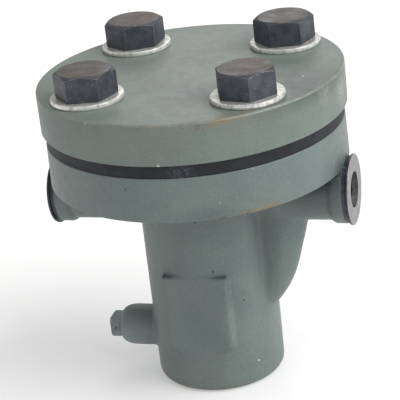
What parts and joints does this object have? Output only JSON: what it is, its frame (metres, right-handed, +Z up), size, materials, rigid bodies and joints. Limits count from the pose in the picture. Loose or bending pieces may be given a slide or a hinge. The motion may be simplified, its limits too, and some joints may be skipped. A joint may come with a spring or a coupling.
{
  "type": "steam trap",
  "caption": "Inverted-bucket steam trap: cylindrical bowl with flat pad, in-line threaded side ports, round bolted cap, drain plug and internal bucket, lever and valve.",
  "frame": {"origin": "centre of the bowl's flat bottom, on the bowl's axis", "axes": "+X along the pipe axis to the inlet port and its web, +Y away from the flat pad, +Z up through the cap"},
  "size_m": [0.1946, 0.1906, 0.2221],
  "materials": {
    "body_paint": "grey-green machinery paint on a cast surface",
    "cap_paint": "grey-green machinery paint, worn at the rim",
    "gasket": "dull graphite",
    "bolt_steel": "black oxide, worn on edges",
    "washer_zinc": "zinc plated",
    "plug_steel": "painted over, scuffed",
    "sheet_steel": "pressed stainless sheet",
    "stainless": "turned stainless"
  },
  "bodies": {
    "body": {"body_casting": "body_paint", "joint_gasket": "gasket", "inlet_tube": "sheet_steel"},
    "cap": {"cap": "cap_paint", "valve_seat": "stainless", "lever_bracket": "sheet_steel", "bracket_screw_1": "stainless", "bracket_screw_2": "stainless", "fulcrum_pin": "stainless"},
    "bolt_1": {"bolt_1": "bolt_steel", "washer_1": "washer_zinc"},
    "bolt_2": {"bolt_2": "bolt_steel", "washer_2": "washer_zinc"},
    "bolt_3": {"bolt_3": "bolt_steel", "washer_3": "washer_zinc"},
    "bolt_4": {"bolt_4": "bolt_steel", "washer_4": "washer_zinc"},
    "plug": {"drain_plug": "plug_steel"},
    "bucket": {"bucket": "sheet_steel", "bucket_hook": "stainless"},
    "lever": {"lever": "sheet_steel", "valve": "stainless", "valve_clip": "stainless"}
  },
  "joints": [
    {"name": "cap_lift", "type": "slide", "parent": "body", "child": "cap", "axis": [0, 0, 1], "range_m": [0, 0.12]},
    {"name": "bolt_1_out", "type": "slide", "parent": "cap", "child": "bolt_1", "axis": [0, 0, 1], "range_m": [0, 0.065]},
    {"name": "bolt_2_out", "type": "slide", "parent": "cap", "child": "bolt_2", "axis": [0, 0, 1], "range_m": [0, 0.065]},
    {"name": "bolt_3_out", "type": "slide", "parent": "cap", "child": "bolt_3", "axis": [0, 0, 1], "range_m": [0, 0.065]},
    {"name": "bolt_4_out", "type": "slide", "parent": "cap", "child": "bolt_4", "axis": [0, 0, 1], "range_m": [0, 0.065]},
    {"name": "drain_plug_out", "type": "slide", "parent": "body", "child": "plug", "axis": [-1, 0, 0], "range_m": [0, 0.03]},
    {"name": "bucket_float", "type": "slide", "parent": "cap", "child": "bucket", "axis": [0, 0, 1], "range_m": [0, 0.008]},
    {"name": "lever_rock", "type": "hinge", "parent": "cap", "child": "lever", "pos_m": [-0.025, 0, 0.1665], "axis": [0, -1, 0], "range_deg": [0, 18.4]}
  ],
  "couplings": [
    {"joint": "lever_rock", "follows": "bucket_float", "rad_per_m": 40}
  ]
}
